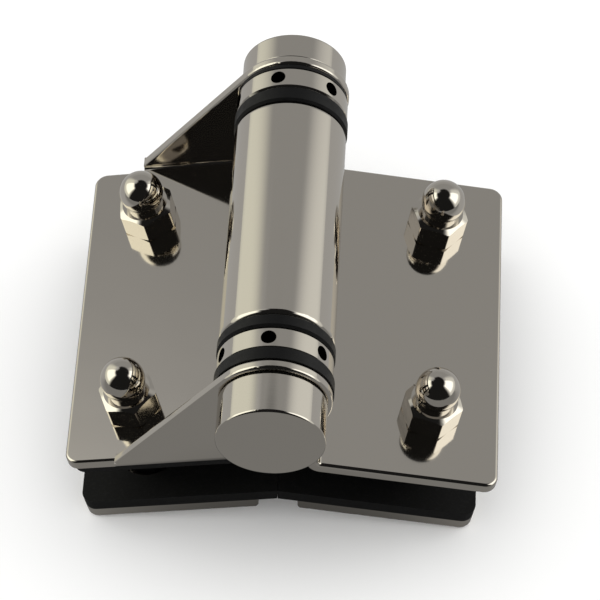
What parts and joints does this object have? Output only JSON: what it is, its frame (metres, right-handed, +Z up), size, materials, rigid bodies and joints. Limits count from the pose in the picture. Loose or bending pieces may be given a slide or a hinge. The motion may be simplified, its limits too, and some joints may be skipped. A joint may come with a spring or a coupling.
{
  "type": "glass gate spring hinge",
  "caption": "Self-closing glass-to-glass gate hinge: sprung barrel with winding rings between two folded leaves, each clamping a pane with rubber pads, a back plate and domed nuts.",
  "frame": {"origin": "on the table under the middle of the hinge as it lies at rest, leaves down and barrel up", "axes": "+Y along the barrel, away from the plain near cap; +X across the leaves towards the swinging leaf; +Z up"},
  "size_m": [0.0962, 0.1054, 0.0646],
  "materials": {
    "polished_stainless": "polished",
    "black_nylon": "satin",
    "black_rubber": "matte",
    "spring_steel": "satin",
    "dark_screw_steel": "satin"
  },
  "bodies": {
    "fixed_side": {"far_cap_washer": "black_nylon", "far_end_cap": "polished_stainless", "far_slip_washer": "black_nylon", "fixed_back_plate": "polished_stainless", "fixed_far_cap_nut": "polished_stainless", "fixed_far_glass_bush": "black_nylon", "fixed_far_screw": "polished_stainless", "fixed_inner_gasket": "black_rubber", "fixed_leaf": "polished_stainless", "fixed_near_cap_nut": "polished_stainless", "fixed_near_glass_bush": "black_nylon", "fixed_near_screw": "polished_stainless", "fixed_outer_gasket": "black_rubber", "near_cap_washer": "black_nylon", "near_end_cap": "polished_stainless", "near_slip_washer": "black_nylon", "spindle": "polished_stainless"},
    "swing_side": {"anchor_pin": "polished_stainless", "barrel": "polished_stainless", "far_bearing_bush": "black_nylon", "far_spring": "spring_steel", "near_bearing_bush": "black_nylon", "near_spring": "spring_steel", "spring_anchor": "polished_stainless", "swing_back_plate": "polished_stainless", "swing_far_cap_nut": "polished_stainless", "swing_far_glass_bush": "black_nylon", "swing_far_screw": "polished_stainless", "swing_inner_gasket": "black_rubber", "swing_leaf": "polished_stainless", "swing_near_cap_nut": "polished_stainless", "swing_near_glass_bush": "black_nylon", "swing_near_screw": "polished_stainless", "swing_outer_gasket": "black_rubber"},
    "near_ring": {"near_lock_screw": "dark_screw_steel", "near_tension_ring": "polished_stainless"},
    "far_ring": {"far_lock_screw": "dark_screw_steel", "far_tension_ring": "polished_stainless"}
  },
  "joints": [
    {"name": "leaf_swing", "type": "hinge", "parent": "fixed_side", "child": "swing_side", "pos_m": [-0.00099, 0, 0.05153], "axis": [0, -1, 0], "range_deg": [0, 109], "stiffness_Nm_per_rad": 1.9, "springref_deg": -34.38, "deforming": ["near_spring", "far_spring"]},
    {"name": "near_tension_turn", "type": "hinge", "parent": "fixed_side", "child": "near_ring", "pos_m": [-0.00099, 0, 0.05153], "axis": [0, 1, 0], "range_deg": [0, 180]},
    {"name": "far_tension_turn", "type": "hinge", "parent": "fixed_side", "child": "far_ring", "pos_m": [-0.00099, 0, 0.05153], "axis": [0, 1, 0], "range_deg": [0, 180]}
  ]
}
